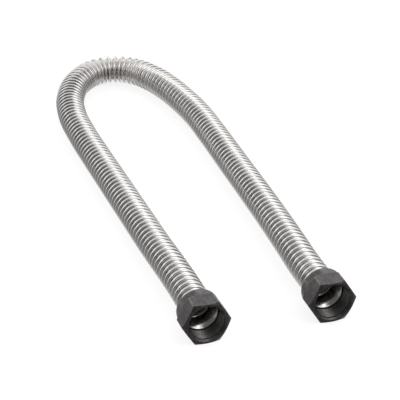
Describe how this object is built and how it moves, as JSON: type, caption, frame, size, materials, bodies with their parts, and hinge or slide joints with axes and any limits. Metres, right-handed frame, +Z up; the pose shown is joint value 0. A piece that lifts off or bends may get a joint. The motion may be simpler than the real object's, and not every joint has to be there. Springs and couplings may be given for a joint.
{
  "type": "corrugated metal suction hose",
  "caption": "Bendable corrugated stainless hose bent into a U, with a black swivel hex flare nut on each end, for a fryer's oil pump.",
  "frame": {"origin": "on the surface the hose lies on, below the middle of the whole hose", "axes": "+Y along the two legs, from the nuts to the bend; +X from the leg of nut_a to the leg of nut_b; +Z up"},
  "size_m": [0.1106, 0.3992, 0.027],
  "materials": {
    "stainless": "bright annealed stainless steel",
    "black_oxide": "satin black oxide steel"
  },
  "bodies": {
    "hose": {"hose": "stainless"},
    "nut_a": {"nut_a": "black_oxide"},
    "nut_b": {"nut_b": "black_oxide"}
  },
  "joints": [
    {"name": "nut_a_swivel", "type": "hinge", "parent": "hose", "child": "nut_a", "pos_m": [-0.03976, -0.18533, 0.01351], "axis": [0, 1, 0], "continuous": true},
    {"name": "nut_b_swivel", "type": "hinge", "parent": "hose", "child": "nut_b", "pos_m": [0.03844, -0.18933, 0.01351], "axis": [0, 1, 0], "continuous": true}
  ]
}
